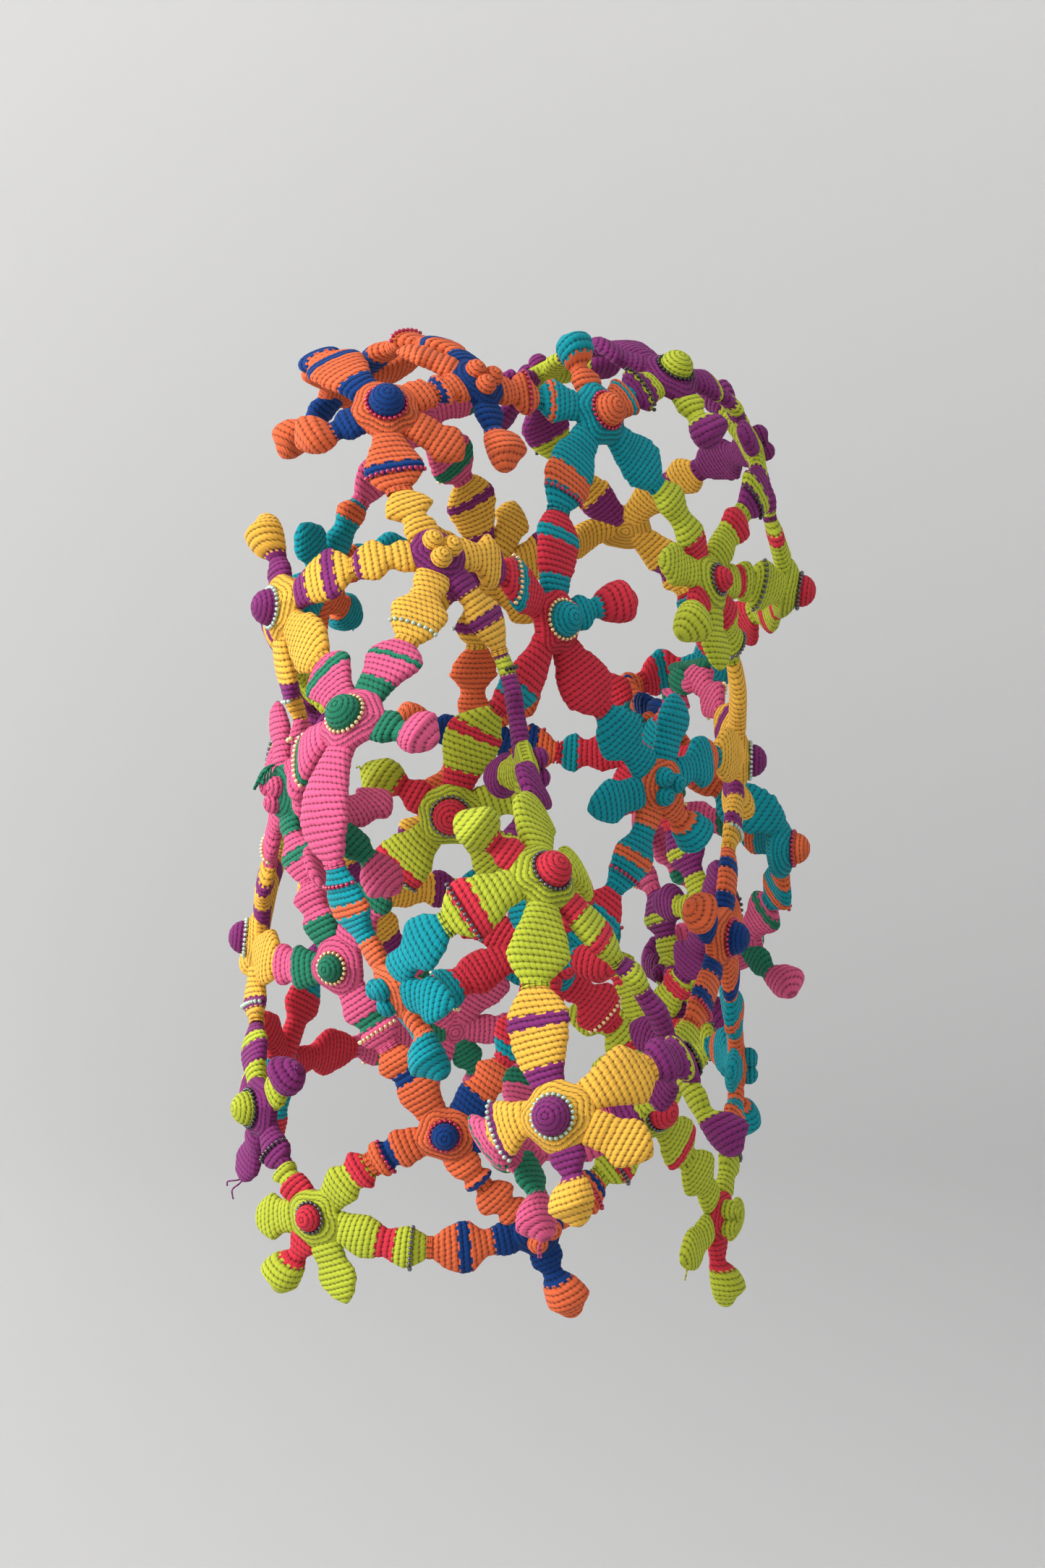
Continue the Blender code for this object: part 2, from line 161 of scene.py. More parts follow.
# Sleeve pieces: distance down the sleeve, degrees round from its outer side, colour, kind.
RIGHT = (
    (0.020, 60, "orange", "bloom"),
    (0.130, 84, "yellow", "spray"),
    (0.130, -16, "yellow", "bloom"),
    (0.262, 30, "pink", "bloom"),
    (0.258, -78, "pink", "pod"),
    (0.262, 150, "purple", "spray"),
    (0.396, 88, "lime", "bloom"),
    (0.394, -30, "turquoise", "spray"),
    (0.396, -150, "red", "pod"),
    (0.540, 34, "yellow", "bloom"),
    (0.528, -88, "pink", "bloom"),
    (0.534, 152, "purple", "pod"),
)
LEFT = (
    (0.030, 44, "purple", "spray"),
    (0.130, 80, "lime", "bloom"),
    (0.132, -84, "yellow", "pod"),
    (0.236, -10, "red", "spray"),
    (0.250, 180, "orange", "spray"),
    (0.370, 78, "turquoise", "bloom"),
    (0.362, -88, "pink", "pod"),
    (0.478, 0, "pink", "bloom"),
    (0.476, 180, "purple", "spray"),
)
# Sleeves: names of the pieces, middle line, side, how flat, pieces.
SLEEVES = (
    ("sleeve_r_{:02d}", RIGHT_SLEEVE, -1, 1, RIGHT),
    ("sleeve_l_{}", LEFT_SLEEVE, 1, LEFT_SLEEVE_SQUASH, LEFT),
)

# The first pass of links, then one that ties in pieces with fewer than three: most links, least angle.
LONGEST_LINK = 0.195
PASSES = ((4, math.radians(50), 4), (5, math.radians(44), 3))
FREE_ANGLE = math.radians(98)
LINK_CLEARANCE = 0.036
FREE_CLEARANCE = 0.038
# A free arm lies nearly straight, and this far from the middle it is clear of the piece's other arms.
STRAIGHT_SHARE = 0.84
OWN_REACH = 0.034
OWN_CLEARANCE = 0.025

# Middles: radius, half thickness, height of the dome over it.
MIDDLES = {
    "bloom": (0.0275, 0.0076, 0.0095),
    "spray": (0.0235, 0.0070, 0.0040),
    "pod": (0.0245, 0.0072, 0.0060),
}
# Arms: at each share of the length, the half width and the half thickness.
LINK_ARMS = {
    "bloom": ((0.30, 0.0190, 0.0068), (0.60, 0.0212, 0.0066), (0.84, 0.0150, 0.0058), (1.0, 0.0086, 0.0048)),
    "spray": ((0.24, 0.0102, 0.0060), (0.52, 0.0200, 0.0062), (0.80, 0.0150, 0.0056), (1.0, 0.0082, 0.0048)),
    "pod": ((0.26, 0.0160, 0.0076), (0.50, 0.0112, 0.0064), (0.76, 0.0160, 0.0076), (1.0, 0.0086, 0.0050)),
}
BUD = ((0.24, 0.0072, 0.0060), (0.44, 0.0138, 0.0112), (0.66, 0.0160, 0.0130), (0.88, 0.0096, 0.0080))
LEAFLET = ((0.24, 0.0128, 0.0058), (0.52, 0.0172, 0.0060), (0.80, 0.0112, 0.0052), (0.96, 0.0045, 0.0036))
BUD_LENGTH = 0.072
LEAFLET_LENGTH = 0.068
SHORTEST_FREE = 0.050
SHORT_ARM = 0.064
# Sleeves join the body above this height. The limp one hangs clear of the piece under its armhole.
SHOULDER_LOW = -0.27
UNDERARM_LEFT = "chest_3"


def unit(v):
    return v / np.linalg.norm(v, axis=-1, keepdims=True)


def running_length(points):
    """Distance along the points, at each of them."""
    return np.concatenate([[0], np.cumsum(np.linalg.norm(np.diff(points, axis=0), axis=1))])


def between(at, steps, table):
    """The table's rows, which lie at these steps, read off at other distances."""
    return np.stack([np.interp(at, steps, column) for column in table.T], axis=-1)


def smooth_min(a, b, k):
    share = np.maximum(k - np.abs(a - b), 0) / k
    return np.minimum(a, b) - share * share * k / 4


def body_section(height):
    """Half width, half depth and middle of the body at this height."""
    return (np.interp(height, BODY[:, 0], BODY[:, i]) for i in (1, 2, 3))


def body_distance(p):
    half_width, half_depth, middle = body_section(p[:, 2])
    round_it = np.hypot(p[:, 0] / half_width, (p[:, 1] - middle) / half_depth)
    side = (round_it - 1) * np.minimum(half_width, half_depth)
    roof = ROOF_TOP - ROOF_SLOPE * np.hypot(p[:, 0], 0.03) - ROOF_BOW * p[:, 1] ** 2
    return -smooth_min(-side, roof - p[:, 2], ROOF_BLEND)


def sleeve_distance(p, path, squash):
    scale = np.array((1, squash, 1))
    best = None
    for a, b in zip(path[:-1], path[1:]):
        start = a[:3] * scale
        along = b[:3] * scale - start
        from_start = p * scale - start
        t = np.clip(from_start @ along / (along @ along), 0, 1)
        near = np.linalg.norm(from_start - t[:, None] * along, axis=1) - (a[3] + t * (b[3] - a[3]))
        best = near if best is None else smooth_min(best, near, 0.02)
    return best


def worn_distance(p):
    high = np.clip((p[:, 2] - SLEEVE_BLEND_LOW) / (SLEEVE_BLEND_TOP - SLEEVE_BLEND_LOW), 0, 1)
    blend = 0.004 + SLEEVE_BLEND * high * high * (3 - 2 * high)
    with_right = smooth_min(body_distance(p), sleeve_distance(p, RIGHT_SLEEVE, 1), blend)
    return smooth_min(with_right, sleeve_distance(p, LEFT_SLEEVE, LEFT_SLEEVE_SQUASH), blend)


def worn_slope(p):
    step = 2e-4
    shifts = np.eye(3) * step
    return np.stack([(worn_distance(p + s) - worn_distance(p - s)) / (2 * step) for s in shifts], axis=1)


def settle(points):
    """The points moved onto the worn form, and the outward normals there."""
    points = np.array(points, float)
    for _ in range(10):
        slope = worn_slope(points)
        length2 = np.maximum((slope**2).sum(axis=1), 0.05)
        points = points - (worn_distance(points) / length2)[:, None] * slope * 0.9
    return points, unit(worn_slope(points))


def body_start(degrees, height):
    half_width, half_depth, middle = body_section(height)
    angle = math.radians(degrees)
    return (1.03 * half_width * math.sin(angle), middle - 1.03 * half_depth * math.cos(angle), height)


def sleeve_start(path, side, distance, degrees, squash):
    left = distance
    for i in range(len(path) - 1):
        a, b = path[i], path[i + 1]
        length = np.linalg.norm(b[:3] - a[:3])
        if left <= length or i == len(path) - 2:
            break
        left -= length
    share = left / length
    along = (b[:3] - a[:3]) / length
    radius = a[3] + min(share, 1) * (b[3] - a[3])
    out = np.array((side, 0.0, 0.0))
    out -= along * (out @ along)
    out /= np.linalg.norm(out)
    front = np.cross(along, out) * side
    angle = math.radians(degrees)
    middle = a[:3] + along * left
    return middle + radius * (out * math.cos(angle) + front * math.sin(angle) / squash)


def starts():
    """(name, colour, kind, start point) of each piece."""
    found = []
    for i, (x, y, colour, kind) in enumerate(NECK, 1):
        roof = ROOF_TOP - ROOF_SLOPE * math.hypot(x, 0.03) - ROOF_BOW * y * y
        found.append((f"neck_{i}", colour, kind, (x, y, roof)))
    for name, rows in (("chest", CHEST), ("waist", WAIST), ("hip", HIP), ("hem", HEM), ("drop", DROPS)):
        for i, (degrees, height, colour, kind) in enumerate(rows, 1):
            found.append((f"{name}_{i}", colour, kind, body_start(degrees, height)))
    for name, path, side, squash, rows in SLEEVES:
        for i, (distance, degrees, colour, kind) in enumerate(rows, 1):
            start = sleeve_start(path, side, distance, degrees, squash)
            found.append((name.format(i), colour, kind, start))
    return found


def placed():
    """Each piece as a dictionary: name, colour, kind, centre, normal."""
    rng = np.random.default_rng(SEED)
    rows = starts()
    points = np.array([row[3] for row in rows])
    points += rng.uniform(-JITTER, JITTER, points.shape)
    points, normals = settle(points)
    return [
        {"name": name, "colour": colour, "kind": kind, "centre": centre, "normal": normal}
        for (name, colour, kind, _), centre, normal in zip(rows, points, normals)
    ]


def may_link(a, b):
    """The limp left sleeve and the right sleeve are joined to the body at the shoulder only."""
    regions = {piece["name"].rsplit("_", 1)[0] for piece in (a, b)}
    if "sleeve_l" in regions and UNDERARM_LEFT in (a["name"], b["name"]):
        return False
    if len(regions) == 2 and {"sleeve_r", "sleeve_l"} <= regions:
        return False
    for sleeve in ("sleeve_r", "sleeve_l"):
        if sleeve in regions and len(regions) == 2:
            high = min(a["centre"][2], b["centre"][2]) > SHOULDER_LOW
            return high and bool(regions & {"neck", "chest"})
    return True


def flat_direction(piece, towards):
    away = towards - piece["centre"]
    away = away - piece["normal"] * (away @ piece["normal"])
    return away / np.linalg.norm(away)


def link_curve(a, b, bow):
    """Points on the worn form from one centre to the other, with a sideways bow."""
    u = np.linspace(0, 1, 41)[:, None]
    chord = b["centre"] - a["centre"]
    side = np.cross(a["normal"] + b["normal"], chord)
    side /= np.linalg.norm(side)
    points = a["centre"] + u * chord + side * (bow * np.linalg.norm(chord) * np.sin(math.pi * u))
    return settle(points)


def curve_length(points):
    return np.linalg.norm(np.diff(points, axis=0), axis=1).sum()


def angle_between(a, b):
    return math.acos(max(-1.0, min(1.0, float(a @ b))))


def crosses(points, i, j, taken):
    """Whether the curve comes close to a taken one. From one centre, only the far ends count."""
    for m, n, other, _ in taken:
        ends = {i, j} & {m, n}
        if len(ends) == 2:
            return True
        mine, theirs = points[4:-4], other[4:-4]
        if ends:
            shared = ends.pop()
            mine = points[20:] if shared == i else points[:-20]
            theirs = other[20:] if shared == m else other[:-20]
        if np.linalg.norm(mine[:, None] - theirs[None], axis=2).min() < LINK_CLEARANCE:
            return True
    return False


def links_of(pieces):
    """Pairs joined tip to tip, the shortest first, each with its curve."""
    rng = np.random.default_rng(SEED + 1)
    pairs = []
    for i, a in enumerate(pieces):
        for j, b in enumerate(pieces[i + 1 :], i + 1):
            if np.linalg.norm(b["centre"] - a["centre"]) > LONGEST_LINK or not may_link(a, b):
                continue
            points, normals = link_curve(a, b, rng.uniform(-0.10, 0.10))
            pairs.append((curve_length(points), i, j, points, normals))
    pairs.sort(key=lambda pair: pair[0])
    taken = []
    directions = [[] for _ in pieces]
    for most, least_angle, few in PASSES:
        for length, i, j, points, normals in pairs:
            counts = (len(directions[i]), len(directions[j]))
            if length > LONGEST_LINK or max(counts) >= most or min(counts) >= few:
                continue
            ends = ((i, points[6]), (j, points[-7]))
            ways = [(k, flat_direction(pieces[k], towards)) for k, towards in ends]
            narrow = any(angle_between(way, old) < least_angle for k, way in ways for old in directions[k])
            if narrow or crosses(points, i, j, taken):
                continue
            for k, way in ways:
                directions[k].append(way)
            taken.append((i, j, points, normals))
    return taken


def cut_at(points, normals, distance):
    """The curve up to this distance from its start, as (points, normals, distances)."""
    steps = running_length(points)
    kept = steps < distance
    ends = (np.vstack([table[kept], between(distance, steps, table)]) for table in (points, normals))
    return (*ends, np.append(steps[kept], distance))


def arms_from_links(pieces, links):
    """Two arms for each link. The first carries the yarn wound over their joint."""
    rng = np.random.default_rng(SEED + 2)
    for piece in pieces:
        piece["arms"] = []
    for i, j, points, normals in links:
        whole = curve_length(points)
        joint = whole * rng.uniform(0.46, 0.54)
        before, after = (cut_at(points, normals, joint + shift)[0][-1] for shift in (-0.003, 0.003))
        across = after - before
        for k, line, ups, length, tip in (
            (i, points, normals, joint - JOINT_GAP / 2, across),
            (j, points[::-1], normals[::-1], whole - joint - JOINT_GAP / 2, -across),
        ):
            arm = {"curve": cut_at(line, ups, length), "way": flat_direction(pieces[k], line[6])}
            arm.update(profile=LINK_ARMS[pieces[k]["kind"]], free=False, tip=tip, joiner=k == i)
            pieces[k]["arms"].append(arm)


def bearing(piece, way):
    east, north = flat_axes(piece["normal"])
    return math.atan2(way @ north, way @ east)


def flat_axes(normal):
    east = np.cross((0.31, 0.17, 0.93), normal)
    east /= np.linalg.norm(east)
    return east, np.cross(normal, east)


def spaces_after(angles):
    """The space from each angle to the next one round the piece."""
    return [(b - a) % (FULL_TURN) or FULL_TURN for a, b in zip(angles, angles[1:] + angles[:1])]


def free_line(piece, angle, length):
    east, north = flat_axes(piece["normal"])
    way = east * math.cos(angle) + north * math.sin(angle)
    reach = np.linspace(0, length, 21)[:, None]
    return way, settle(piece["centre"] + way * reach)


def beyond(line, centre):
    """The part of the line that is clear of the middle."""
    return line[np.linalg.norm(line - centre, axis=1) > OWN_REACH]


def add_free_arms(pieces, links):
    """A bud, then a leaflet, in each piece's widest spaces, as long as other pieces leave room."""
    others = [(i, j, points) for i, j, points, _ in links]
    tips = []
    for k, piece in enumerate(pieces):
        for profile, full in ((BUD, BUD_LENGTH), (LEAFLET, LEAFLET_LENGTH), (LEAFLET, LEAFLET_LENGTH)):
            angles = sorted(bearing(piece, arm["way"]) for arm in piece["arms"])
            space, start = max(zip(spaces_after(angles), angles))
            if space < FREE_ANGLE:
                continue
            way, (points, normals) = free_line(piece, start + space / 2, full)
            room = full
            foreign = [line for i, j, line in others if k not in (i, j)] + [t for n, t in tips if n != k]
            foreign += [other["centre"][None] for other in pieces if other is not piece]
            if foreign:
                gaps = np.linalg.norm(points[:, None] - np.vstack(foreign)[None], axis=2).min(axis=1)
                blocked = np.nonzero(gaps < FREE_CLEARANCE)[0]
                if len(blocked):
                    room = full * (blocked[0] - 1) / 20
            length = curve_length(points)
            mine = beyond(points, piece["centre"])
            if room < SHORTEST_FREE or length < STRAIGHT_SHARE * full or not len(mine):
                continue
            own = [beyond(arm["curve"][0], piece["centre"]) for arm in piece["arms"]]
            gaps = [np.linalg.norm(mine[:, None] - line[None], axis=2).min() for line in own if len(line)]
            if min(gaps, default=1.0) < OWN_CLEARANCE:
                continue
            curve = cut_at(points, normals, min(room, 0.999 * length))
            piece["arms"].append({"curve": curve, "way": way, "profile": profile, "free": True, "tip": None})
            tips.append((k, curve[0][6:]))


# Crochet: height of a round, width of a stitch, rings of points in a round, height of its ridge.
ROW = 0.0042
STITCH = 0.0040
RINGS = 3
STEP = ROW / RINGS
RIDGE = 0.00042
ROW_UNEVEN = 0.035

# Sections: points round an arm, and the power of their rounded-square outline.
AROUND = 22
SQUARENESS = 2.3
THINNEST = 0.0008
# An arm's root: shares of the middle's radius, half width, shares of its half thickness.
ROOTS = ((0.30, 0.0100, 0.62), (1.0, 0.0128, 0.90))
# Share of the space between its neighbours that an arm fills. A bud may fill more.
CROWDING = 0.86
NARROWEST = 0.0055
LEAFLET_THICK = 0.008
# Tip of a free arm: least half width, then its last ring's shares of the width and thickness.
BLUNT = (0.0062, 0.8, 0.9)
# Ends: how far past the last ring the rounding runs out, and its length.
FREE_END = (0.0, 0.0075)
LINK_END = (0.0022, 0.0045)
LAST_GAP = 0.0004
TIP_GAP = 0.0001

# How arms lie: sideways sway, radians of twist, and how far a free arm's tip lifts off the garment.
SWAY = 0.0006
SWAY_LENGTH = 0.011
SWAY_START = 6.28
TWIST = 0.20
FREE_TWIST = 0.30
FREE_LIFT = (0.002, 0.009)
# An arm's direction is taken over this length, and near a joint it turns to its neighbour.
TANGENT = 0.004
TURN_LENGTH = 0.008

# Middles: points round, shares of the radius at the arms and between them, last round's share.
HUB_COLUMNS = 36
HUB_AT_ARMS = 0.98
CROTCH = 0.0106
CROTCH_SHARES = (0.76, 1.06)
LAST_ROUND = 0.985
HUB_POWER = 2.6
DOME_SHARE = 0.34

# Yarn wound round a joint, then loose ends.
YARN_RADIUS = 0.0008
WOUND_TURNS = (-0.0013, 0.0001, 0.0015)
WOUND_TILT = 0.12
WOUND_PROUD = 0.0002
END_RADIUS = 0.00065
END_LENGTH = (0.009, 0.013)
END_CHANCE = 0.14
END_STRANDS = 2
CURL = 0.16
TASSEL_PIECE = "waist_6"
TASSEL_STRANDS = 11
TASSEL_LENGTH = 0.024
TASSEL_RADIUS = 0.0009
TASSEL_ABOVE = 0.02

# Buttons: radius and rise. COVERED has none, because a sleeve lies on its middle.
BUTTONS = {"bloom": (0.0128, 0.004), "pod": (0.0100, 0.003)}
BUTTON_SQUASH = 0.90
COVERED = "waist_3"
# Berries of a spray: radius, squash, how far out and up, and their turns round the middle.
BERRY = (0.0078, 0.92, 0.0082, 0.0022)
BERRY_TURNS = (0.4, 2.5, 4.6)

# Beads: radius, then shares of it that they are long and that their ends reach.
BEAD_RADIUS = 0.0018
BEAD_LENGTH = 0.86
BEAD_POLE = 0.8
# A row of them: its chance, distance from the tip, share of the half turn, and lift.
BEAD_CHANCE = 0.62
BEAD_ROW = (0.0125, 0.86, 0.0011)
# A ring of them: distance from the button, lift, and spacing in radii.
BEAD_RING = (0.0014, 0.0009, 2.05)

# Material slots of every piece.
MAIN, CONTRAST, BEAD = 0, 1, 2

# Linear colours of the yarns, and each colourway's contrast yarn and beads.
YARNS = {
    "orange": (0.700, 0.130, 0.045),
    "yellow": (0.790, 0.430, 0.055),
    "turquoise": (0.001, 0.265, 0.320),
    "pink": (0.670, 0.098, 0.225),
    "lime": (0.440, 0.500, 0.036),
    "purple": (0.200, 0.022, 0.145),
    "red": (0.600, 0.028, 0.052),
    "blue": (0.002, 0.038, 0.185),
    "green": (0.014, 0.180, 0.100),
}
COLOURWAYS = {
    "orange": ("blue", "magenta"),
    "yellow": ("purple", "aqua"),
    "turquoise": ("orange", "magenta"),
    "pink": ("green", "gold"),
    "lime": ("red", "gunmetal"),
    "purple": ("lime", "black"),
    "red": ("turquoise", "gold"),
}
# Beads: linear colour, metallic value, roughness.
BEADS = {
    "magenta": ((0.420, 0.006, 0.060), 0.35, 0.16),
    "aqua": ((0.420, 0.560, 0.470), 0.45, 0.24),
    "gold": ((0.780, 0.560, 0.280), 0.65, 0.22),
    "gunmetal": ((0.110, 0.105, 0.125), 0.80, 0.20),
    "black": ((0.012, 0.011, 0.014), 0.30, 0.14),
}
# Where each kind has bands of its contrast yarn: shares of the arm, by turns round the piece.
LINK_BANDS = {
    "bloom": (((0.44, 0.70),), (), ((-1.0, 0.10), (0.50, 0.66))),
    "spray": (((-1.0, 0.16), (0.46, 0.62)), ((0.70, 0.90),), ()),
    "pod": (((0.58, 0.86),), ((-1.0, 0.22),), ((0.36, 0.60),)),
}
BUD_BANDS = ((-1.0, 0.30),)
HUB_SLOT = {"bloom": MAIN, "spray": CONTRAST, "pod": MAIN}


def smooth_steps(xs, ys, at):
    """Monotone cubic through the points, so nothing swells past its table."""
    widths = np.diff(xs)
    rises = np.diff(ys) / widths
    slopes = np.zeros(len(xs))
    for i in range(1, len(xs) - 1):
        a, b = rises[i - 1], rises[i]
        if a * b > 0:
            wa, wb = 2 * widths[i] + widths[i - 1], widths[i] + 2 * widths[i - 1]
            slopes[i] = (wa + wb) / (wa / a + wb / b)
    k = np.clip(np.searchsorted(xs, at) - 1, 0, len(widths) - 1)
    t = np.clip((at - xs[k]) / widths[k], 0, 1)
    hold, lead = 2 * t**3 - 3 * t**2 + 1, t**3 - 2 * t**2 + t
    return (
        hold * ys[k]
        + lead * widths[k] * slopes[k]
        + (1 - hold) * ys[k + 1]
        + (t**3 - t**2) * widths[k] * slopes[k + 1]
    )


def round_angles(count):
    """Angles of this many points round a circle."""
    return FULL_TURN * np.arange(count) / count


def ways_round(east, north, angle):
    """Level unit vectors from the middle, one for each angle."""
    return east * np.cos(angle)[:, None] + north * np.sin(angle)[:, None]


def squarish(angle):
    """Sideways and upward reach of a rounded square of unit size."""
    parts = (np.cos(angle), np.sin(angle))
    return tuple(np.sign(part) * np.abs(part) ** (2 / SQUARENESS) for part in parts)


def frames_along(arm, distances):
    """Points, tangents, normals and sides of the arm's curve at these distances."""
    points, normals, steps = arm["curve"]
    last = np.minimum(distances + TANGENT, steps[-1])
    first = np.maximum(last - 2 * TANGENT, 0)
    along = unit(between(last, steps, points) - between(first, steps, points))
    if arm["tip"] is not None:
        share = np.clip((distances - steps[-1] + TURN_LENGTH) / TURN_LENGTH, 0, 1)[:, None]
        along = unit(along * (1 - share) + unit(arm["tip"]) * share)
    up = between(distances, steps, normals)
    up = unit(up - along * (up * along).sum(axis=1)[:, None])
    return between(distances, steps, points), along, up, np.cross(up, along)


class Shells:
    """Points, faces, stitch coordinates and materials of one piece, gathered shell by shell."""

    def __init__(self):
        self.points, self.faces, self.uvs, self.slots = [], [], [], []
        self.count = 0

    def add(self, points, faces, uvs, slots):
        """faces: rows of four corners (a triangle repeats its last). uvs: one pair per corner."""
        self.points.append(points)
        self.faces.append(faces + self.count)
        self.uvs.append(uvs)
        self.slots.append(np.broadcast_to(slots, (len(faces),)))
        self.count += len(points)

    def grid(self, points, us, vs, slots):
        """A strip of rings: points[ring, column]. us has one column more, vs one value for each ring."""
        rings, columns = points.shape[:2]
        i, j = np.meshgrid(np.arange(rings - 1), np.arange(columns), indexing="ij")
        here, after = i * columns, (i + 1) * columns
        n = (j + 1) % columns
        faces = np.stack([here + j, here + n, after + n, after + j], axis=-1)
        u = np.stack([us[i, j], us[i, j + 1], us[i + 1, j + 1], us[i + 1, j]], axis=-1)
        v = np.stack([vs[i], vs[i], vs[i + 1], vs[i + 1]], axis=-1)
        uvs = np.stack([u, v], axis=-1)
        slots = np.broadcast_to(slots, (rings - 1, columns))
        self.add(points.reshape(-1, 3), faces.reshape(-1, 4), uvs.reshape(-1, 4, 2), slots.reshape(-1))

    def fan(self, ring, tip, u, v, v_tip, slot, outward):
        """Closes a ring of points onto a tip."""
        columns = len(ring)
        j = np.arange(columns)
        n = (j + 1) % columns
        centre = np.full(columns, columns)
        a, b, u_a, u_b = (j, n, u[:-1], u[1:]) if outward else (n, j, u[1:], u[:-1])
        faces = np.stack([a, b, centre, centre], axis=1)
        mean = (u_a + u_b) / 2
        us = np.stack([u_a, u_b, mean, mean], axis=1)
        vs = np.broadcast_to((v, v, v_tip, v_tip), us.shape)
        self.add(np.vstack([ring, tip]), faces, np.stack([us, vs], axis=-1), slot)

    def closed(self, points, us, vs, slots, tips, tip_vs):
        """A strip of rings, closed onto its first and last tips."""
        slots = np.broadcast_to(slots, (len(points) - 1, points.shape[1]))
        self.grid(points, us, vs, slots)
        self.fan(points[-1], tips[1], us[-1], vs[-1], tip_vs[1], slots[-1], True)
        self.fan(points[0], tips[0], us[0], vs[0], tip_vs[0], slots[0], False)


def ring_of(half_width, half_thick):
    """Sections of an arm, from the middle of its back: offsets (side, up) for each ring and column."""
    across, high = squarish(round_angles(AROUND) - math.pi / 2)
    return half_width[:, None] * across[None], half_thick[:, None] * high[None]


def stitches_round(side, up):
    """Distance round each section from its top, in stitches, one column more than the section has."""
    steps = np.hypot(*(np.diff(part, axis=1, append=part[:, :1]) for part in (side, up)))
    run = np.pad(np.cumsum(steps, axis=1), ((0, 0), (1, 0)))
    return (run - run[:, [side.shape[1] // 2]]) / STITCH


def ridge(v):
    """How far the surface stands proud at this height, in rounds."""
    return RIDGE * (np.abs(np.sin(math.pi * v)) ** 0.8 - 0.55)


def arm_sizes(arm, radius, half_thick, narrow):
    """Distances with the half width and half thickness of the arm there."""
    reach = arm["curve"][2][-1]
    rows = [(share * radius, half_width, part * half_thick) for share, half_width, part in ROOTS]
    for share, half_width, thick in arm["profile"]:
        distance = radius + share * (reach - radius)
        half_width *= min(1.0, reach / SHORT_ARM)
        if not arm["free"] or thick < LEAFLET_THICK:
            room = CROWDING * distance * math.tan(narrow / 2)
            half_width = min(half_width, max(room, NARROWEST))
        rows.append((distance, half_width, thick))
    if arm["free"]:
        distance, half_width, thick = rows[-1]
        least, width_share, thick_share = BLUNT
        half_width = max(half_width, least)
        rows[-1:] = ((distance, half_width, thick), (reach, half_width * width_share, thick * thick_share))
    return np.array(rows)


def arm_rings(arm, radius, half_thick, narrow):
    """Distances of the arm's rings, with its half width and half thickness there."""
    reach = arm["curve"][2][-1]
    table = arm_sizes(arm, radius, half_thick, narrow)
    first = math.ceil(table[0, 0] / STEP)
    last = math.floor((reach - LAST_GAP) / STEP)
    distances = np.append(np.arange(first, last + 1) * STEP, reach - TIP_GAP)
    half_width, thick = (smooth_steps(table[:, 0], table[:, i], distances) for i in (1, 2))
    return distances, half_width, thick


def rounded_end(distances, reach, length):
    """Shares of the full section near a rounded tip."""
    left = np.clip((reach - distances) / length, 0, 1)
    return np.sqrt(np.maximum(1 - (1 - left) ** 2, 0))


def arm_pose(arm, distances, thick, radius, rng):
    """Middles, tangents, normals and sides of an arm that sways, twists and lifts a little."""
    reach = arm["curve"][2][-1]
    at, along, up, left = frames_along(arm, distances)
    sway = SWAY * np.sin(distances / SWAY_LENGTH + rng.uniform(0, SWAY_START))
    out = np.clip((distances - radius) / (reach - radius), 0, 1)
    lift = thick + LIFT
    twist = rng.uniform(-TWIST, TWIST) * np.sin(math.pi * out)
    if arm["free"]:
        lift = lift + rng.uniform(*FREE_LIFT) * out**2
        twist = rng.uniform(-FREE_TWIST, FREE_TWIST) * out
    middle = at + up * lift[:, None] + left * sway[:, None]
    cosine, sine = np.cos(twist)[:, None], np.sin(twist)[:, None]
    return middle, along, up * cosine - left * sine, left * cosine + up * sine


def arm_slots(distances, radius, reach, bands):
    """Yarn of each face. At a band's edge, every other stitch changes colour a ring early."""
    early = STEP * (np.arange(AROUND) % 2)
    rounds = np.floor((distances[:-1, None] + early) / ROW + 1e-6)
    share = (rounds * ROW - radius) / (reach - radius)
    banded = np.zeros(share.shape, bool)
    for low, high in bands:
        banded |= (share >= low) & (share < high)
    return np.where(banded, CONTRAST, MAIN)


def add_arm(shells, arm, radius, half_thick, narrow, bands, rng):
    """One stuffed arm, worked in rounds from inside the middle. Gives its rings, for what lies on them."""
    reach = arm["curve"][2][-1]
    distances, half_width, thick = arm_rings(arm, radius, half_thick, narrow)
    past, length = FREE_END if arm["free"] else LINK_END
    end = rounded_end(distances, reach + past, length)
    vs = distances / ROW
    row = np.floor(vs).astype(int)
    uneven = 1 + ROW_UNEVEN * rng.uniform(-1, 1, row.max() + 2)[row]
    proud = ridge(vs)
    full_width = np.maximum((half_width + proud) * uneven * end, THINNEST)
    full_thick = np.maximum((thick + proud) * end, THINNEST)
    middle, along, up, left = arm_pose(arm, distances, thick, radius, rng)
    side, height = ring_of(full_width, full_thick)
    points = middle[:, None] + left[:, None] * side[..., None] + up[:, None] * height[..., None]
    us = stitches_round(*ring_of(half_width, thick))
    slots = arm_slots(distances, radius, reach, bands)
    tips = (middle[0], middle[-1] + along[-1] * TIP_GAP)
    shells.closed(points, us, vs, slots, tips, (vs[0] - 0.5, vs[-1] + 0.5))
    keys = ("distances", "middle", "along", "up", "left", "width", "thick")
    return dict(zip(keys, (distances, middle, along, up, left, full_width, full_thick)))


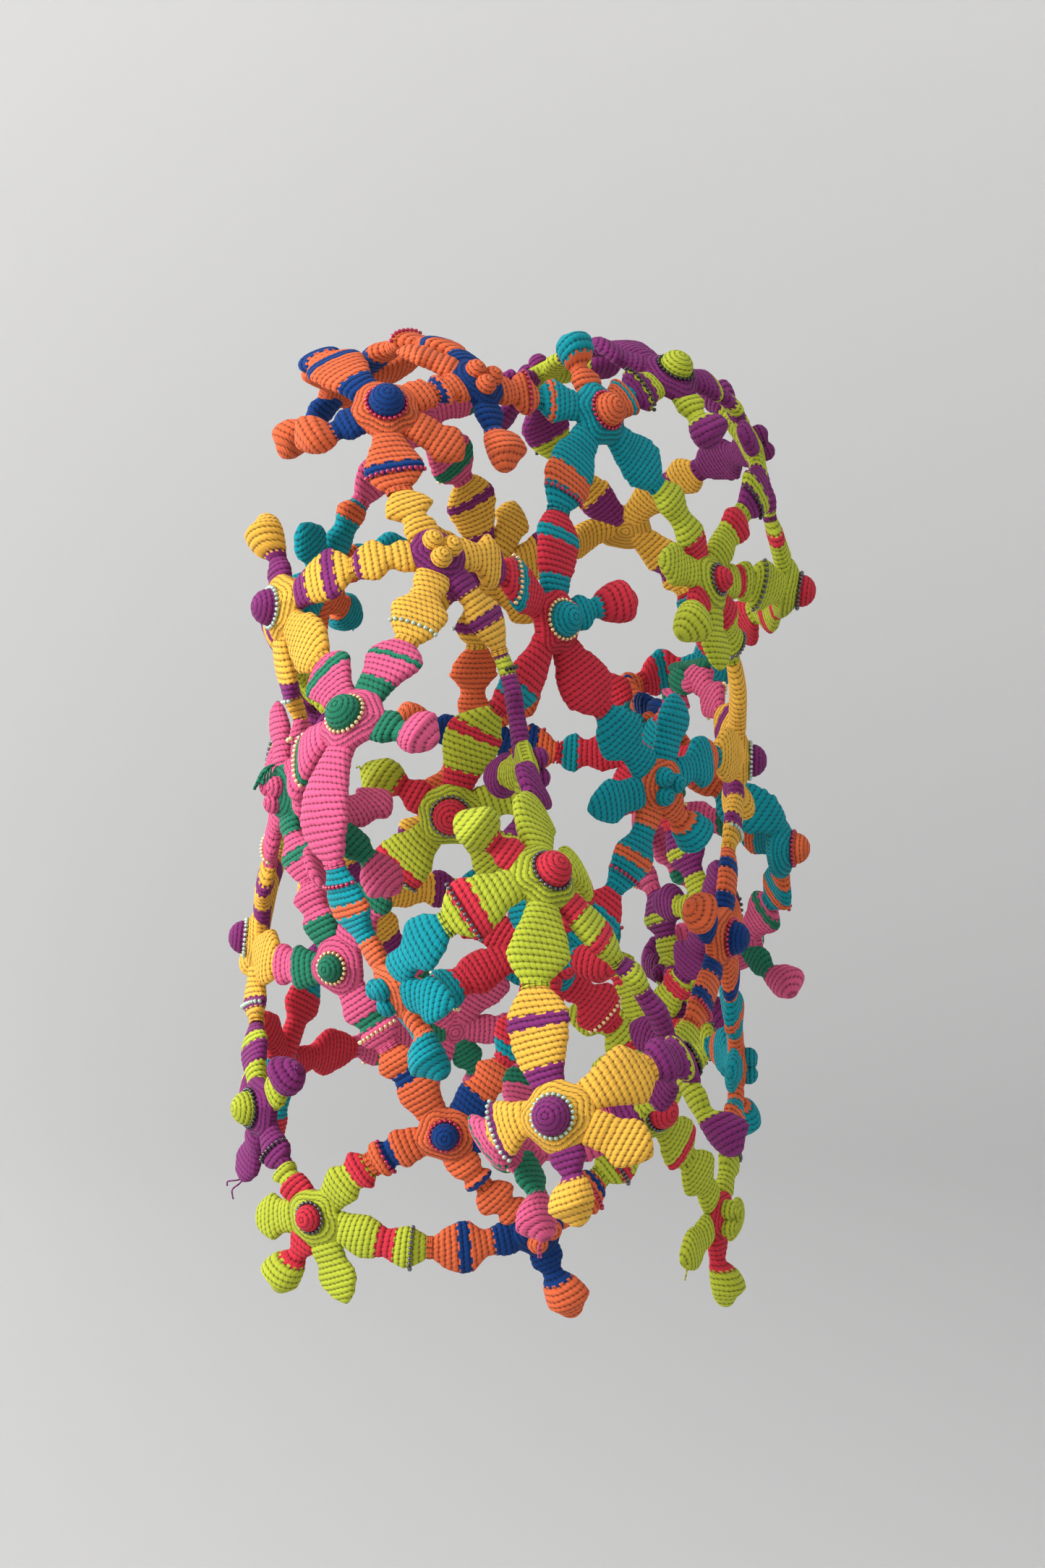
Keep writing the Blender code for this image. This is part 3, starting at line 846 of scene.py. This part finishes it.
def add_ball(shells, centre, axes, radius, squash, slot, columns=24):
    """A ball worked in rounds, its pole along the last axis."""
    east, north, up = axes
    rings = max(6, round(math.pi * radius / (ROW / 2)))
    turn = np.linspace(0, math.pi, rings + 1)[1:-1]
    vs = turn / math.pi * (math.pi * radius / ROW)
    size = radius + ridge(vs)
    way = ways_round(east, north, round_angles(columns))
    points = (
        centre
        + way[None] * (size * np.sin(turn))[:, None, None]
        - up[None, None] * (size * np.cos(turn) * squash)[:, None, None]
    )
    number = np.maximum(np.round(FULL_TURN * radius * np.sin(turn) / STITCH), 5)
    us = number[:, None] * np.arange(columns + 1)[None] / columns
    tips = (centre - up * (size[0] * squash), centre + up * (size[-1] * squash))
    shells.closed(points, us, vs, slot, tips, (vs[0] - 0.7, vs[-1] + 0.7))


def bead_shape(columns=8, rings=5):
    """Rings of a ball of unit radius."""
    turn = np.linspace(0, math.pi, rings + 2)[1:-1]
    angle = round_angles(columns)
    x = np.sin(turn)[:, None] * np.cos(angle)
    y = np.sin(turn)[:, None] * np.sin(angle)
    z = np.broadcast_to(-np.cos(turn)[:, None], x.shape)
    return np.stack([x, y, z], axis=-1)


BEAD_SHAPE = bead_shape()


def add_beads(shells, centres, along, up):
    """Round beads with their holes along the thread."""
    rings, columns = BEAD_SHAPE.shape[:2]
    flat = np.zeros((rings, columns + 1))
    level = np.zeros(rings)
    for centre, z, x in zip(centres, unit(along), unit(up)):
        x = unit(x - z * (x @ z))
        frame = np.stack([x, np.cross(z, x), BEAD_LENGTH * z])
        points = centre + BEAD_RADIUS * (BEAD_SHAPE @ frame)
        pole = BEAD_POLE * BEAD_RADIUS * z
        shells.closed(points, flat, level, BEAD, (centre - pole, centre + pole), (0, 0))


def add_yarn(shells, line, slot, radius=YARN_RADIUS, columns=5, closed=False):
    """A strand of yarn along a line of points."""
    before, after = line[-1:], line[:1]
    if not closed:
        before, after = 2 * line[:1] - line[1:2], 2 * line[-1:] - line[-2:-1]
    along = unit(np.vstack([line[1:], after]) - np.vstack([before, line[:-1]]))
    side = unit(np.cross(along, (0.31, 0.64, 0.70)))
    up = np.cross(side, along)
    angle = round_angles(columns)
    round_it = side[:, None] * np.cos(angle)[None, :, None] - up[:, None] * np.sin(angle)[None, :, None]
    points = (line[:, None] + radius * round_it)[:, ::-1]
    steps = running_length(line) / STITCH
    if closed:
        points = np.concatenate([points, points[:1]])
        steps = np.append(steps, steps[-1] + 1)
    us = np.broadcast_to(np.arange(columns + 1) / columns, (len(points), columns + 1))
    if closed:
        shells.grid(points, us, steps, slot)
    else:
        shells.closed(points, us, steps, slot, (line[0], line[-1]), (steps[0], steps[-1]))


def hub_height(share, half_thick, dome):
    """Height of the middle's top over its mid plane, at this share of its radius."""
    shell = half_thick * (1 - np.clip(share, 0, 1) ** HUB_POWER) ** (1 / HUB_POWER)
    return shell + DOME_SHARE * dome * np.maximum(1 - share**2, 0) ** 1.5


def hub_edge(angles, gaps, radius):
    """Turns and reaches of the middle's edge, at each arm and halfway to the next one."""
    turns, reaches = [], []
    least, most = CROTCH_SHARES
    for angle, gap in zip(angles, gaps):
        crotch = min(max(CROTCH / math.sin(min(gap, math.pi) / 2), least * radius), most * radius)
        turns += [angle, angle + gap / 2]
        reaches += [HUB_AT_ARMS * radius, crotch]
    return np.array(turns), np.array(reaches)


def add_hub(shells, piece, turns, reaches, slot):
    """The middle, worked in rounds from its centre, filling the crotches between the arms."""
    radius, half_thick, dome = MIDDLES[piece["kind"]]
    east, north = flat_axes(piece["normal"])
    turn = round_angles(HUB_COLUMNS)
    edge = np.interp(turn, turns, reaches, period=FULL_TURN)
    edge = 0.5 * edge + 0.25 * (np.roll(edge, 1) + np.roll(edge, -1))
    way = ways_round(east, north, turn)
    rows = round(radius / ROW)
    rounds = np.arange(1, 2 * rows + 1) / (2 * rows)
    rounds[-1] = LAST_ROUND
    flat = piece["centre"] + way[None] * (edge[None] * rounds[:, None])[..., None]
    at, up = (part.reshape(flat.shape) for part in settle(flat.reshape(-1, 3)))
    vs = rounds * rows
    level = (half_thick + LIFT) * up
    over, under = (hub_height(rounds, half_thick, rise)[:, None, None] for rise in (dome, 0))
    top = at + level + up * over + up * ridge(vs)[:, None, None]
    low = at + level - up * under
    middle = piece["centre"] + piece["normal"] * (half_thick + LIFT)
    crown = middle + piece["normal"] * hub_height(0.0, half_thick, dome)
    base = middle - piece["normal"] * half_thick
    number = 6.0 * np.ceil(np.maximum(vs, 0.5))
    us = number[:, None] * np.arange(HUB_COLUMNS + 1)[None] / HUB_COLUMNS
    # The underside, with half as many rings, runs outwards and the top inwards, as one closed surface.
    both = ((low, top), (vs, vs), (us, us))
    points, vs, us = (np.concatenate([lower[1::2], upper[::-1]]) for lower, upper in both)
    shells.closed(points, us, vs, slot, (base, crown), (0, 0))


def across_arm(made, reach):
    """Places for a row of beads over the top of an arm, near its tip, and the way they run."""
    back, share, lift = BEAD_ROW
    k = int(np.argmin(np.abs(made["distances"] - (reach - back))))
    width, thick = made["width"][k] + lift, made["thick"][k] + lift
    half = share * math.pi / 2
    across, high = squarish(np.linspace(-half, half, 121) + math.pi / 2)
    offsets = np.stack([width * across, thick * high], axis=1)
    run = running_length(offsets)
    marks = np.linspace(0, run[-1], max(3, int(run[-1] / (2 * BEAD_RADIUS))))
    side, up = (np.interp(marks, run, offsets[:, i])[:, None] for i in (0, 1))
    centres = made["middle"][k] + made["left"][k] * side + made["up"][k] * up
    ups = made["left"][k] * (side / width) + made["up"][k]
    return centres, np.gradient(centres, axis=0), ups


def add_joint(shells, made, rng):
    """Turns of yarn wound over the place where two tips are sewn together."""
    width, thick = made["width"][-2] + WOUND_PROUD, made["thick"][-2] + WOUND_PROUD
    along, up, left = made["along"][-1], made["up"][-1], made["left"][-1]
    across, high = squarish(round_angles(20))
    for shift in WOUND_TURNS:
        tilt = rng.uniform(-WOUND_TILT, WOUND_TILT)
        side = (width * across)[:, None]
        centre = made["middle"][-1] + along * (shift + JOINT_GAP / 2)
        line = centre + left * side + up * (thick * high)[:, None] + along * (tilt * side)
        add_yarn(shells, line, MAIN, closed=True)


def hanging(start, way, length, droop):
    """Shares along a strand, and its line as it leaves this way and falls."""
    t = np.linspace(0, 1, 11)[:, None]
    return t, start + way * (length * t) - np.array((0, 0, 1.0)) * (droop * t**2)


def add_ends(shells, made, rng):
    """Loose yarn ends at a tip."""
    length = rng.uniform(*END_LENGTH)
    along, up, left = made["along"][-1], made["up"][-1], made["left"][-1]
    for _ in range(END_STRANDS):
        side, lift, droop = rng.uniform(-0.9, 0.9), rng.uniform(0.2, 0.9), rng.uniform(0.2, 0.6)
        way = unit(along * 0.5 + left * side + up * lift)
        t, line = hanging(made["middle"][-4], way, length, droop * length)
        line = line + left * (CURL * length * np.sin(6 * t)) + up * (CURL * length * (1 - np.cos(5 * t)))
        add_yarn(shells, line, MAIN, END_RADIUS)


def add_tassel(shells, start, out, side, rng):
    """A bunch of cut ends of the contrast yarn that hangs over the front of a piece."""
    for k in range(TASSEL_STRANDS):
        spread = 2 * k / (TASSEL_STRANDS - 1) - 1
        length = TASSEL_LENGTH * rng.uniform(0.8, 1.1)
        way = unit(out * rng.uniform(0.5, 0.8) + side * spread * 0.7 + np.array((0, 0, 0.1)))
        t, line = hanging(start, way, length * 0.6, 0.75 * length)
        line = line + side * (CURL * 0.5 * length * np.sin(5 * t + k))
        add_yarn(shells, line, CONTRAST, TASSEL_RADIUS, columns=6)


def add_button(shells, crown, axes, kind):
    """A domed button with a ring of beads round its foot."""
    east, north, up = axes
    radius, half_thick, dome = MIDDLES[kind]
    size, rise = BUTTONS[kind]
    out, lift, spacing = BEAD_RING
    add_ball(shells, crown + up * (half_thick + rise), axes, size, BUTTON_SQUASH, CONTRAST)
    ring = size + out
    turn = round_angles(int(FULL_TURN * ring / (spacing * BEAD_RADIUS)))
    way = ways_round(east, north, turn)
    height = hub_height(ring / radius, half_thick, dome) + lift
    thread = ways_round(north, -east, turn)
    add_beads(shells, crown + way * ring + up * height, thread, np.broadcast_to(up, way.shape))


def add_berries(shells, crown, axes, half_thick):
    east, north, up = axes
    radius, squash, out, rise = BERRY
    for turn in BERRY_TURNS:
        way = east * math.cos(turn) + north * math.sin(turn)
        spot = crown + way * out + up * (half_thick + rise)
        add_ball(shells, spot, axes, radius, squash, MAIN, columns=16)


def add_arms(shells, piece, index, arms, gaps, rng):
    """The piece's arms with their joints, one row of beads and loose ends."""
    radius, half_thick, _ = MIDDLES[piece["kind"]]
    bands = LINK_BANDS[piece["kind"]]
    linked = 0
    beaded = False
    for k, arm in enumerate(arms):
        narrow = min(gaps[k - 1], gaps[k], math.pi * 0.8)
        if arm["free"]:
            mine = BUD_BANDS if arm["profile"] is BUD else ()
        else:
            mine = bands[(linked + index) % len(bands)]
            linked += 1
        made = add_arm(shells, arm, radius, half_thick, narrow, mine, rng)
        if arm["free"]:
            if rng.uniform() < END_CHANCE:
                add_ends(shells, made, rng)
            continue
        if arm["joiner"]:
            add_joint(shells, made, rng)
        if not beaded and rng.uniform() < BEAD_CHANCE:
            beaded = True
            add_beads(shells, *across_arm(made, arm["curve"][2][-1]))


def dress(piece, index):
    """Shells of one piece."""
    rng = np.random.default_rng(SEED + 100 + index)
    shells = Shells()
    radius, half_thick, _ = MIDDLES[piece["kind"]]
    arms = sorted(piece["arms"], key=lambda arm: bearing(piece, arm["way"]))
    angles = [bearing(piece, arm["way"]) for arm in arms]
    gaps = spaces_after(angles)
    add_hub(shells, piece, *hub_edge(angles, gaps, radius), HUB_SLOT[piece["kind"]])
    add_arms(shells, piece, index, arms, gaps, rng)
    east, north = flat_axes(piece["normal"])
    up = piece["normal"]
    crown = piece["centre"] + up * (half_thick + LIFT)
    if piece["kind"] == "spray":
        add_berries(shells, crown, (east, north, up), half_thick)
    elif piece["name"] != COVERED:
        add_button(shells, crown, (east, north, up), piece["kind"])
    if piece["name"] == TASSEL_PIECE:
        add_tassel(shells, crown + up * half_thick + north * TASSEL_ABOVE, up, east, rng)
    return shells


def show(obj):
    bpy.context.scene.collection.objects.link(obj)
    return obj


def build_mesh(name, shells, materials):
    """The object of one piece, from its shells."""
    points = np.vstack(shells.points)
    faces = np.vstack(shells.faces)
    uvs = np.vstack(shells.uvs)
    slots = np.concatenate(shells.slots)
    three = faces[:, 2] == faces[:, 3]
    sizes = np.where(three, 3, 4)
    keep = np.ones(faces.shape, bool)
    keep[three, 3] = False
    mesh = bpy.data.meshes.new(name)
    mesh.vertices.add(len(points))
    mesh.vertices.foreach_set("co", points.astype(np.float32).ravel())
    mesh.loops.add(int(sizes.sum()))
    mesh.loops.foreach_set("vertex_index", faces[keep].astype(np.int32))
    mesh.polygons.add(len(faces))
    starts_at = np.concatenate([[0], np.cumsum(sizes)[:-1]])
    for attribute, values in (("loop_start", starts_at), ("loop_total", sizes), ("material_index", slots)):
        mesh.polygons.foreach_set(attribute, values.astype(np.int32))
    layer = mesh.uv_layers.new(name="stitches")
    layer.data.foreach_set("uv", uvs[keep].astype(np.float32).ravel())
    mesh.update(calc_edges=True)
    mesh.validate()
    mesh.shade_smooth()
    for material in materials:
        mesh.materials.append(material)
    return show(bpy.data.objects.new(name, mesh))


def shade(colour, by):
    """This linear colour, so many times as bright."""
    return (*(min(1.0, c * by) for c in colour), 1.0)


class Nodes:
    """A new material, with short ways to add and join its nodes."""

    def __init__(self, name, colour):
        self.material = bpy.data.materials.new(name)
        self.material.diffuse_color = shade(colour, 1.0)
        self.material.use_nodes = True
        self.tree = self.material.node_tree
        self.tree.nodes.clear()

    def add(self, kind, keys=(), inputs=(), **values):
        """A node with these inputs, each a value or another node's socket. Gives its outputs."""
        node = self.tree.nodes.new(kind)
        for key, value in values.items():
            setattr(node, key, value)
        for key, value in zip(keys, inputs):
            if isinstance(value, bpy.types.NodeSocket):
                self.tree.links.new(value, node.inputs[key])
            else:
                node.inputs[key].default_value = value
        return node.outputs

    def place(self):
        return self.add("ShaderNodeTexCoord")["Object"]

    def split(self, vector):
        return self.add("ShaderNodeSeparateXYZ", (0,), (vector,))

    def math(self, operation, *values):
        return self.add("ShaderNodeMath", range(3), values, operation=operation)[0]

    def plus(self, a, b):
        return self.math("ADD", a, b)

    def minus(self, a, b):
        return self.math("SUBTRACT", a, b)

    def times(self, a, b):
        return self.math("MULTIPLY", a, b)

    def power(self, a, b):
        return self.math("POWER", a, b)

    def arch(self, value):
        """Half a wave, highest where the value is a half."""
        return self.math("SINE", self.times(value, math.pi))

    def noise(self, vector, scale, detail):
        return self.add("ShaderNodeTexNoise", ("Vector", "Scale", "Detail"), (vector, scale, detail))["Fac"]

    def ramp(self, value, low, high, to_high=1.0):
        return self.add("ShaderNodeMapRange", range(5), (value, low, high, 0.0, to_high))[0]

    def mix(self, share, a, b):
        return self.add("ShaderNodeMix", (0, 6, 7), (share, a, b), data_type="RGBA")[2]

    def finish(self, colour, values):
        """The material, with a shader of this colour and these inputs."""
        shader = self.add("ShaderNodeBsdfPrincipled", ("Base Color", *values), (colour, *values.values()))
        self.add("ShaderNodeOutputMaterial", (0,), (shader[0],))
        return self.material


# Stitches: wander of the rounds, lean, and powers that shape rounds, stitches and holes.
WANDER = 0.30
LEAN = 0.42
ROUND_POWER = 0.55
STITCH_POWER = 0.6
HOLE_POWER = 1.6
# Shares of the relief: a stitch in its round, plies, holes and fibres, then its depth in metres.
STITCH_RELIEF = 0.30
PLY_RELIEF = 0.045
HOLE_RELIEF = 0.55
FIBRE_RELIEF = 0.16
RELIEF = 0.0011
YARN_FINISH = {"Roughness": 0.88, "Specular IOR Level": 0.22, "Sheen Weight": 0.35, "Sheen Roughness": 0.45}


def stitches(n, place):
    """Height of the yarn, and a mask of painted shade for its holes and the creases between its rounds, from
    the stitch coordinates.
    """
    u, v, _ = n.split(n.add("ShaderNodeUVMap", uv_map="stitches")[0])
    drift = n.times(n.minus(n.noise(place, 160.0, 1.0), 0.5), WANDER)
    level = n.plus(v, drift)
    in_row = n.math("FRACT", level)
    shift = n.times(n.math("FLOOR", level), 0.5)
    across = n.plus(n.plus(u, n.times(in_row, LEAN)), n.plus(shift, n.times(drift, 0.6)))
    row_wave = n.arch(in_row)
    stitch_wave = n.arch(n.math("FRACT", across))
    row_body = n.power(row_wave, ROUND_POWER)
    stitch_body = n.power(stitch_wave, STITCH_POWER)
    ply = n.math("SINE", n.times(n.plus(n.times(across, 2.0), in_row), FULL_TURN))
    body = n.times(row_body, n.math("MULTIPLY_ADD", stitch_body, STITCH_RELIEF, 1 - STITCH_RELIEF))
    hole = n.times(*(n.power(n.minus(1.0, wave), HOLE_POWER) for wave in (row_wave, stitch_wave)))
    body = n.minus(body, n.times(hole, HOLE_RELIEF))
    fibre = n.times(n.noise(place, 2600.0, 3.0), FIBRE_RELIEF)
    height = n.plus(n.math("MULTIPLY_ADD", ply, PLY_RELIEF, body), fibre)
    # Painted shade: this mask darkens the colour in the holes and in the creases between rounds.
    painted_crease_shade = n.times(n.minus(1.0, row_body), 0.40)
    return height, n.ramp(n.math("MAXIMUM", n.times(hole, 1.5), painted_crease_shade), 0.06, 0.70)


def yarn_material(name, colour):
    """Worsted yarn in close rounds: each stitch leans, with a small hole under it. Painted shade darkens the
    holes and the creases between rounds.
    """
    n = Nodes("yarn_" + name, colour)
    place = n.place()
    height, painted_shade_mask = stitches(n, place)
    bump = n.add("ShaderNodeBump", ("Strength", "Distance", "Height"), (1.0, RELIEF, height))[0]
    lit = n.mix(n.ramp(n.noise(place, 34.0, 3.0), 0.30, 0.70), shade(colour, 0.90), shade(colour, 1.10))
    fuzz = n.mix(n.ramp(n.noise(place, 900.0, 2.0), 0.35, 0.75, 0.5), lit, shade(colour, 1.22))
    # Painted shade: the yarn's colour darkens to about a quarter in the holes and the creases between
    # rounds.
    colour_with_painted_shade = n.mix(painted_shade_mask, fuzz, shade(colour, 0.26))
    tint = shade([c * 0.8 + 0.14 for c in colour], 1.0)
    return n.finish(colour_with_painted_shade, {**YARN_FINISH, "Sheen Tint": tint, "Normal": bump})


def bead_material(name, colour, metallic, roughness):
    """Small glass or metal beads, a little uneven in tone."""
    n = Nodes("beads_" + name, colour)
    tone = n.mix(n.ramp(n.noise(n.place(), 420.0, 1.0), 0.3, 0.7), shade(colour, 0.8), shade(colour, 1.2))
    return n.finish(tone, {"Metallic": metallic, "Roughness": roughness, "Coat Weight": 0.6})


def make_pieces():
    pieces = placed()
    links = links_of(pieces)
    arms_from_links(pieces, links)
    add_free_arms(pieces, links)
    yarns = {name: yarn_material(name, colour) for name, colour in YARNS.items()}
    beads = {name: bead_material(name, *row) for name, row in BEADS.items()}
    for index, piece in enumerate(pieces):
        contrast, bead = COLOURWAYS[piece["colour"]]
        materials = (yarns[piece["colour"]], yarns[contrast], beads[bead])
        obj = build_mesh("crochet_" + piece["name"], dress(piece, index), materials)
        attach(obj, "root")
        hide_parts(piece["name"])


# Studio: a pale round room with a swept edge, wide enough to walk round the garment.
FLOOR = -1.45
FLAT = (0.02, 1.6)
ROOM = 5.4
SWEEP = 2.2
ROOM_TOP = 4.6
ROOM_COLUMNS = 96
WALL_TONE = (0.700, 0.697, 0.693, 1.0)
FLOOR_TONE = (0.530, 0.528, 0.526, 1.0)


def room_mesh():
    """Floor, sweep and wall, turned about the middle."""
    profile = [(r, FLOOR) for r in FLAT]
    for a in np.linspace(0, math.pi / 2, 17):
        profile.append((ROOM - SWEEP + SWEEP * math.sin(a), FLOOR + SWEEP - SWEEP * math.cos(a)))
    profile.append((ROOM, ROOM_TOP))
    points = [(r * math.cos(a), r * math.sin(a), z) for r, z in profile for a in round_angles(ROOM_COLUMNS)]
    faces = []
    for i in range(len(profile) - 1):
        here, after = i * ROOM_COLUMNS, (i + 1) * ROOM_COLUMNS
        for j in range(ROOM_COLUMNS):
            n = (j + 1) % ROOM_COLUMNS
            faces.append((here + j, here + n, after + n, after + j))
    faces.append(tuple(range(ROOM_COLUMNS))[::-1])
    mesh = bpy.data.meshes.new("room")
    mesh.from_pydata(points, [], faces)
    mesh.shade_smooth()
    return mesh


def stage_room():
    mesh = room_mesh()
    n = Nodes("room", WALL_TONE[:3])
    place = n.place()
    paint = n.mix(n.noise(place, 1.3, 2.0), WALL_TONE, shade(WALL_TONE[:3], 1.03))
    tone = n.mix(n.ramp(n.split(place)[2], FLOOR, FLOOR + SWEEP), FLOOR_TONE, paint)
    mesh.materials.append(n.finish(tone, {"Roughness": 0.9, "Specular IOR Level": 0.1}))
    show(bpy.data.objects.new("room", mesh))


# The camera: its turn from the front, then its place and aim, as metres right, near and height.
VIEW_TURN = math.radians(-44)
VIEW_FROM = (0, 2.8, 0.1)
VIEW_AIM = (0.007, 0, -0.337)
LENS = 85.0
SENSOR = 36.0

# Lights: name, kind, place in the same way, width, power. They face the middle of the garment.
LIGHTS = (
    ("window", "AREA", (-2.6, 1.5, 1.0), 2.4, 140.0),
    ("sky", "AREA", (-0.5, 0.5, 3.0), 3.0, 44.0),
    ("fill", "AREA", (2.4, 2.4, 0.2), 2.0, 14.0),
    ("wall", "POINT", (-2.9, -2.7, -0.45), 0.7, 190.0),
)
LIT = (0, 0, -0.3)
LIGHT_COLOUR = (1.0, 0.99, 0.978)
WORLD_COLOUR = (0.93, 0.96, 1.0, 1.0)
WORLD_STRENGTH = 0.50


def in_view(x, y, z):
    """A place by its metres to the camera's right and to the camera, both level, and its height."""
    right = Vector((math.cos(VIEW_TURN), math.sin(VIEW_TURN), 0))
    near = Vector((math.sin(VIEW_TURN), -math.cos(VIEW_TURN), 0))
    return right * x + near * y + Vector((0, 0, z))


def point_at(obj, place, aim):
    obj.location = in_view(*place)
    obj.rotation_euler = (in_view(*aim) - obj.location).to_track_quat("-Z", "Y").to_euler()
    return show(obj)


def make_camera():
    data = bpy.data.cameras.new("camera")
    data.lens = LENS
    data.sensor_width = SENSOR
    bpy.context.scene.camera = point_at(bpy.data.objects.new("camera", data), VIEW_FROM, VIEW_AIM)


def make_lights():
    for name, kind, place, width, power in LIGHTS:
        data = bpy.data.lights.new(name, kind)
        if kind == "AREA":
            data.shape = "SQUARE"
            data.size = width
        else:
            data.shadow_soft_size = width
        data.energy = power
        data.color = LIGHT_COLOUR
        point_at(bpy.data.objects.new(name, data), place, LIT).visible_camera = False
    world = bpy.data.worlds.new("studio")
    world.use_nodes = True
    background = world.node_tree.nodes["Background"]
    background.inputs[0].default_value = WORLD_COLOUR
    background.inputs[1].default_value = WORLD_STRENGTH
    bpy.context.scene.world = world
    bpy.context.scene.view_settings.view_transform = "Standard"


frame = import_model()
make_camera()
make_pieces()
stage_room()
make_lights()
